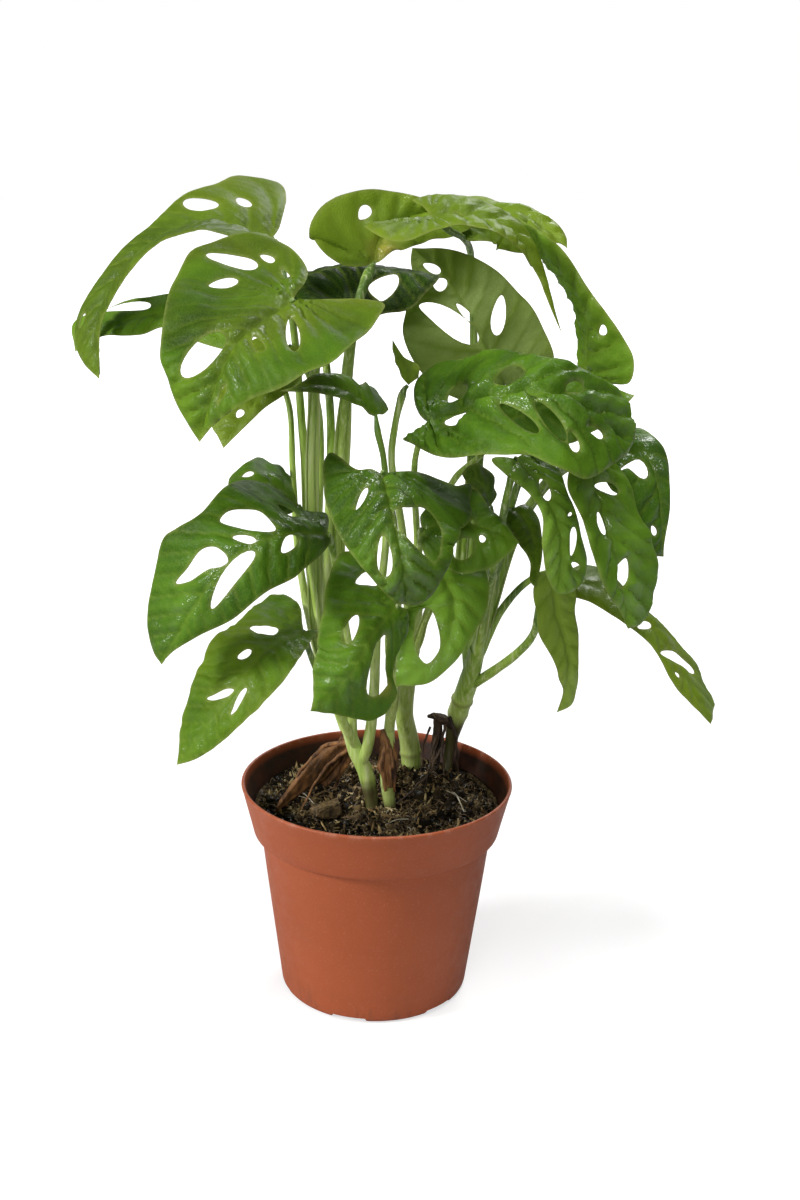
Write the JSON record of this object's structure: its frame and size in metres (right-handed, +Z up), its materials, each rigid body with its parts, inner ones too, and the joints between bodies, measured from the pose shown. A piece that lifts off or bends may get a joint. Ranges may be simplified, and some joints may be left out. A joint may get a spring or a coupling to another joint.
{
  "type": "potted monstera plant",
  "caption": "Swiss cheese vine with arching leaves full of oval holes on slender stalks, in soil in a tapered round nursery pot with a deep rim.",
  "frame": {"origin": "centre of the pot's foot, in the plane that it stands on", "axes": "+Z up along the pot's axis; -Y is the plant's front, and +X its right side seen from the front"},
  "size_m": [0.2911, 0.1732, 0.3532],
  "materials": {
    "pot_plastic": "satin moulded plastic, terracotta coloured, lightly scuffed",
    "soil": "loose damp potting mix of peat, bark and perlite",
    "bark": "rough bark",
    "stalk": "smooth green leaf stalk",
    "dry_sheath": "dry papery sheath",
    "aerial_root": "dry root skin",
    "leaf_green": "glossy leaf, quilted between its veins",
    "leaf_pale": "matte pale leaf underside, light shining through",
    "leaf_dark": "glossy dark leaf"
  },
  "bodies": {
    "root": {"pot": "pot_plastic", "soil": "soil", "bark_chip": "bark", "shoot_front": "stalk", "shoot_stub": "stalk", "shoot_middle": "stalk", "shoot_right": "stalk", "dry_sheath": "dry_sheath", "dry_root": "dry_sheath", "aerial_roots": "aerial_root", "leaf_top_left_arch": "leaf_pale", "leaf_top_left_heart": "leaf_green", "leaf_far_left": "leaf_green", "leaf_under_heart": "leaf_pale", "leaf_top_right_arch": "leaf_pale", "leaf_top_middle": "leaf_pale", "leaf_top_right_drop": "leaf_dark", "leaf_top_back": "leaf_pale", "leaf_middle_back": "leaf_pale", "leaf_top_shaded": "leaf_dark", "young_leaf_rolled": "leaf_pale", "leaf_small_cupped": "leaf_green", "leaf_right_large": "leaf_green", "leaf_left_large": "leaf_green", "leaf_left_small": "leaf_green", "leaf_lower_left": "leaf_green", "leaf_centre_heart": "leaf_dark", "leaf_front_lower": "leaf_green", "leaf_front_curled": "leaf_green", "leaf_centre_pointed": "leaf_green", "leaf_shaded_lower": "leaf_dark", "leaf_shaded_small": "leaf_dark", "leaf_right_narrow": "leaf_green", "leaf_right_hanging": "leaf_green", "leaf_right_curled": "leaf_green", "leaf_lower_right": "leaf_pale", "leaf_hanging_pale": "leaf_pale", "leaf_right_behind": "leaf_green"}
  },
  "joints": []
}
